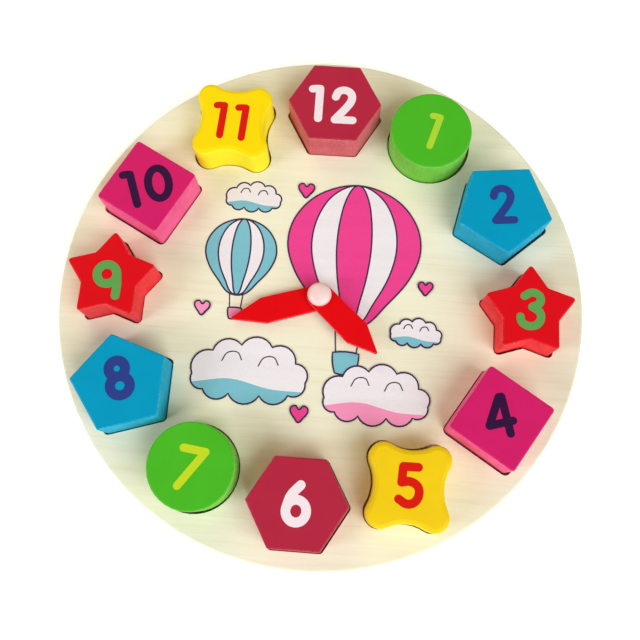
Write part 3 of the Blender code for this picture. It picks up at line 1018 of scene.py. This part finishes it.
BALLOON: Outline = (
    (0.0, 1.0), (0.56, 0.83), (0.9, 0.46), (1.0, 0.02), (0.86, -0.42), (0.55, -0.84), (0.21, -1.2),
    (-0.21, -1.2), (-0.55, -0.84), (-0.86, -0.42), (-1.0, 0.02), (-0.9, 0.46), (-0.56, 0.83),
)
GORE_SHARES = (1.0, 0.64, 0.26)
ROPES: tuple[Outline, Outline] = (((-0.19, -1.2), (-0.15, -1.62)), ((0.19, -1.2), (0.15, -1.62)))
BASKET: Outline = ((-0.19, -1.62), (0.19, -1.62), (0.14, -1.92), (-0.14, -1.92))
CLOUD: Outline = (
    (-0.92, -0.1), (-0.62, 0.3), (-0.16, 0.42), (0.34, 0.42), (0.74, 0.18), (0.92, -0.12), (0.66, -0.34),
    (0.2, -0.38), (-0.3, -0.38), (-0.72, -0.34),
)
CLOUD_SHADE_TOP = -0.24
CLOUD_WAVE: Outline = ((-0.3, -0.14), (0.35, -0.26))
CURL_PLACES: Outline = ((-0.3, 0.14), (0.3, 0.1))
CURL: Outline = ((-0.16, 0.0), (-0.08, 0.14), (0.08, 0.16), (0.16, 0.04))
HEART: Outline = (
    (0.0, 0.45), (0.42, 0.85), (0.92, 0.62), (0.9, 0.1), (0.45, -0.5), (0.0, -0.95),
    (-0.45, -0.5), (-0.9, 0.1), (-0.92, 0.62), (-0.42, 0.85),
)


@dataclass
class PrintedPicture:
    """A generic printed picture on the face: balloons among clouds and hearts."""

    face: float
    first_film: float = 0.00002
    film: float = 0.000014
    line_mm: float = 0.7
    thin_line: float = 0.7
    cloud_bulge: float = 0.62
    basket_bulge: float = 0.12
    basket_steps: int = 4
    sheets: dict[Ink, bmesh.types.BMesh] = field(default_factory=dict)
    level: int = 0

    def patch(self, path: list[Vector], ink: Ink, lined: bool = True) -> None:
        """Print one patch of colour over what is there.

        Args:
            path: outline of the patch, in millimetres.
            ink: its ink.
            lined: True where a dark line goes round it.
        """
        self.level += 1
        self.film_of(ink, path, 0.0, self.level)
        if lined:
            self.line(path, True)

    def line(self, path: list[Vector], closed: bool, share: float = 1.0) -> None:
        """Print a dark line over what is there."""
        self.level += 1
        self.film_of(Ink.OUTLINE, path, self.line_mm * share, self.level, closed)

    def film_of(self, ink: Ink, path: list[Vector], width: float, level: int, closed: bool = True) -> None:
        """Add one film to the sheet of its ink.

        Args:
            ink: the ink that it is printed in.
            path: outline of a patch or centre line of a line, in millimetres.
            width: width of a line, or zero for a filled patch.
            level: how many films lie below, which sets how far this one stands up.
            closed: True where the path comes back to its start.
        """
        form = bmesh.new()
        if width:
            sweep_line(form, path, width, closed)
        else:
            fill_path(form, path)
        bmesh.ops.scale(form, vec=(MILLIMETRE,) * 3, verts=form.verts)
        raise_film(form, self.face, self.face + self.first_film + self.film * level)
        mesh = bpy.data.meshes.new("film")
        form.to_mesh(mesh)
        form.free()
        self.sheets.setdefault(ink, bmesh.new()).from_mesh(mesh)
        bpy.data.meshes.remove(mesh)

    def balloon(self, x: float, y: float, radius: float, inks: tuple[Ink, Ink, Ink], basket: Ink) -> None:
        """Print a hot-air balloon with upright gores, ropes and a basket.

        Args:
            x: how far right of the pin its middle is, in millimetres.
            y: how far above the pin its middle is, in millimetres.
            radius: half its width, in millimetres.
            inks: inks of its gores, from the outer ones to the middle one.
            basket: ink of the basket.
        """
        for rope in ROPES:
            self.line(smooth_path(placed(rope, x, y, radius)), False, self.thin_line)
        corners = placed(BASKET, x, y, radius)
        self.patch(scalloped_path(corners, self.basket_bulge, self.basket_steps), basket)
        for ink, share in zip(inks, GORE_SHARES):
            self.patch(smooth_path(placed(BALLOON, x, y, radius, share), True), ink)

    def cloud(self, x: float, y: float, size: float, shade: Ink) -> None:
        """Print a cloud with a tinted underside and two curls.

        Args:
            x: how far right of the pin its middle is, in millimetres.
            y: how far above the pin its middle is, in millimetres.
            size: about half its width, in millimetres.
            shade: ink of its underside.
        """
        outline = scalloped_path(placed(CLOUD, x, y, size), self.cloud_bulge)
        self.patch(outline, Ink.CLOUD, False)
        low = [spot for spot in outline if spot.y < y + CLOUD_SHADE_TOP * size]
        wave = smooth_path([low[-1].xy, *placed(CLOUD_WAVE, x, y, size), low[0].xy])
        self.patch(low + wave[1:-1], shade, False)
        self.line(outline, True)
        for across, up in CURL_PLACES:
            curl = placed([(across + dx, up + dy) for dx, dy in CURL], x, y, size)
            self.line(smooth_path(curl), False, self.thin_line)

    def heart(self, x: float, y: float, size: float, ink: Ink) -> None:
        """Print a small heart."""
        self.patch(smooth_path(placed(HEART, x, y, size), True), ink)

    def build(self, effects: SharedEffects) -> None:
        """Print the picture from back to front and ride it on the board.

        Args:
            effects: the shared effects that the inks draw on.
        """
        self.cloud(-33.0, 44.0, 13.0, Ink.TEAL)
        self.balloon(-36.0, 18.0, 15.5, (Ink.TEAL, Ink.CLOUD, Ink.TEAL), Ink.ROSE)
        self.balloon(13.0, 24.0, 29.0, (Ink.PINK, Ink.CLOUD, Ink.PINK), Ink.TEAL)
        self.cloud(-27.0, -34.0, 26.0, Ink.TEAL)
        self.cloud(27.0, -40.0, 23.5, Ink.ROSE)
        self.cloud(42.0, -12.0, 11.5, Ink.TEAL)
        self.heart(-10.0, 49.0, 3.6, Ink.PINK)
        self.heart(-4.5, -50.0, 3.8, Ink.PINK)
        self.heart(-50.0, -8.0, 3.4, Ink.ROSE)
        self.heart(45.0, 8.0, 3.2, Ink.PINK)
        for ink, form in self.sheets.items():
            piece = mesh_object("picture_" + ink.name.lower(), form)
            dress(piece, FlatInk("print_" + ink.name.lower(), ink.value).material(effects))
            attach(piece, "board")
            LOG.info("printed %s", piece.name)


@dataclass(frozen=True)
class SoftLamp:
    """A square soft lamp: which way it stands, how far off and how high, its width and its light."""

    name: str
    bearing: float
    reach: float
    height: float
    size: float
    power: float
    colour: Rgb


@dataclass
class Studio:
    """Camera at the photograph's place, a white table, and soft lamps."""

    camera_place: tuple[float, float, float] = (0.0107, -0.0833, 0.3288)
    camera_turn: tuple[float, float, float] = (13.125, 0.635, 4.813)
    lens: float = 43.2
    sensor_width: float = 36.0
    sky: float = 0.25
    sky_colour: Rgb = (255, 237, 206)
    lamps: tuple[SoftLamp, ...] = (
        SoftLamp("right_lamp", 135.0, 1.19, 1.07, 1.3, 25.4, (240, 249, 255)),
        SoftLamp("left_lamp", 240.0, 1.39, 0.8, 0.6, 10.3, (236, 242, 255)),
        SoftLamp("top_lamp", 325.0, 0.38, 0.32, 0.3, 0.5, (255, 240, 200)),
    )
    table_colour: Rgb = (247, 247, 247)
    table_roughness: float = 0.9
    table_reach: float = 4.0
    table_drop: float = 0.0001
    glow_between: tuple[float, float] = (0.2, 0.9)
    glow: tuple[float, float] = (0.37, 1.0)

    def build(self) -> None:
        """Set up the view, the table, the lamps and the world."""
        scene = bpy.context.scene
        scene.view_settings.view_transform = "Standard"
        lens = bpy.data.cameras.new("camera")
        lens.lens = self.lens
        lens.sensor_width = self.sensor_width
        camera = bpy.data.objects.new("camera", lens)
        camera.location = self.camera_place
        camera.rotation_euler = [math.radians(angle) for angle in self.camera_turn]
        scene.collection.objects.link(camera)
        scene.camera = camera
        for lamp in self.lamps:
            self.hang(lamp)
        self.floor()
        self.world(scene)
        LOG.info("set up the studio")

    def hang(self, lamp: SoftLamp) -> None:
        """Hang a lamp so that it faces the dial.

        Args:
            lamp: the lamp's own values.
        """
        light = bpy.data.lights.new(lamp.name, "AREA")
        light.size = lamp.size
        light.energy = lamp.power
        light.color = linear(lamp.colour)[:3]
        fixture = bpy.data.objects.new(lamp.name, light)
        fixture.location = polar(lamp.reach, lamp.bearing) + Vector((0.0, 0.0, lamp.height))
        fixture.rotation_euler = (-fixture.location).to_track_quat("-Z", "Y").to_euler()
        bpy.context.scene.collection.objects.link(fixture)

    def floor(self) -> None:
        """Lay a white table under the clock; far off it runs out into the white behind it."""
        form = bmesh.new()
        bmesh.ops.create_grid(form, x_segments=8, y_segments=8, size=self.table_reach)
        bmesh.ops.translate(form, verts=form.verts, vec=(0.0, 0.0, -self.table_drop))
        table = mesh_object("floor", form)
        material, kit, shader, where = start_material("white_table")
        away = kit.add("ShaderNodeVectorMath", {0: where.outputs["Object"]}, operation="LENGTH")
        glow = kit.ramp(away.outputs["Value"], *self.glow_between, *self.glow)
        kit.feed(
            shader,
            {
                "Base Color": linear(self.table_colour),
                "Roughness": self.table_roughness,
                "Emission Color": WHITE_LIGHT,
                "Emission Strength": kit.math("MULTIPLY", self.background_mask(kit), glow),
            },
        )
        dress(table, material)

    def world(self, scene: bpy.types.Scene) -> None:
        """Light everything evenly from all round, and show white behind the table.

        Args:
            scene: the scene that the world belongs to.
        """
        world = bpy.data.worlds.new("white_room")
        scene.world = world
        world.use_nodes = True
        kit = NodeKit(world.node_tree)
        seen = self.background_mask(kit)
        kit.feed(
            world.node_tree.nodes["Background"],
            {
                "Color": kit.mix(seen, linear(self.sky_colour), WHITE_LIGHT),
                "Strength": kit.ramp(seen, 0.0, 1.0, self.sky, 1.0),
            },
        )

    def background_mask(self, kit: NodeKit) -> Socket:
        """Mask the rays that show the background: seen, reflected, or through something clear.


        Returns:
            1 for those rays and 0 for the light that falls on the object.
        """
        path = kit.add("ShaderNodeLightPath")
        seen = kit.math("MAXIMUM", path.outputs["Is Camera Ray"], path.outputs["Is Glossy Ray"])
        return kit.math("MAXIMUM", seen, path.outputs["Is Transmission Ray"])


def main() -> None:
    """Load the frame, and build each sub-assembly."""
    logging.basicConfig(level=logging.INFO, format="%(name)s: %(message)s")
    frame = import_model()
    nodes = frame["nodes"]
    effects = SharedEffects()
    Board().build(nodes, effects)
    PrintedPicture(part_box("board_face")[1].z).build(effects)
    ShapeBlocks().build(nodes, effects)
    HandsAndPin().build(nodes, effects)
    Studio().build()


if __name__ == "__main__":
    main()
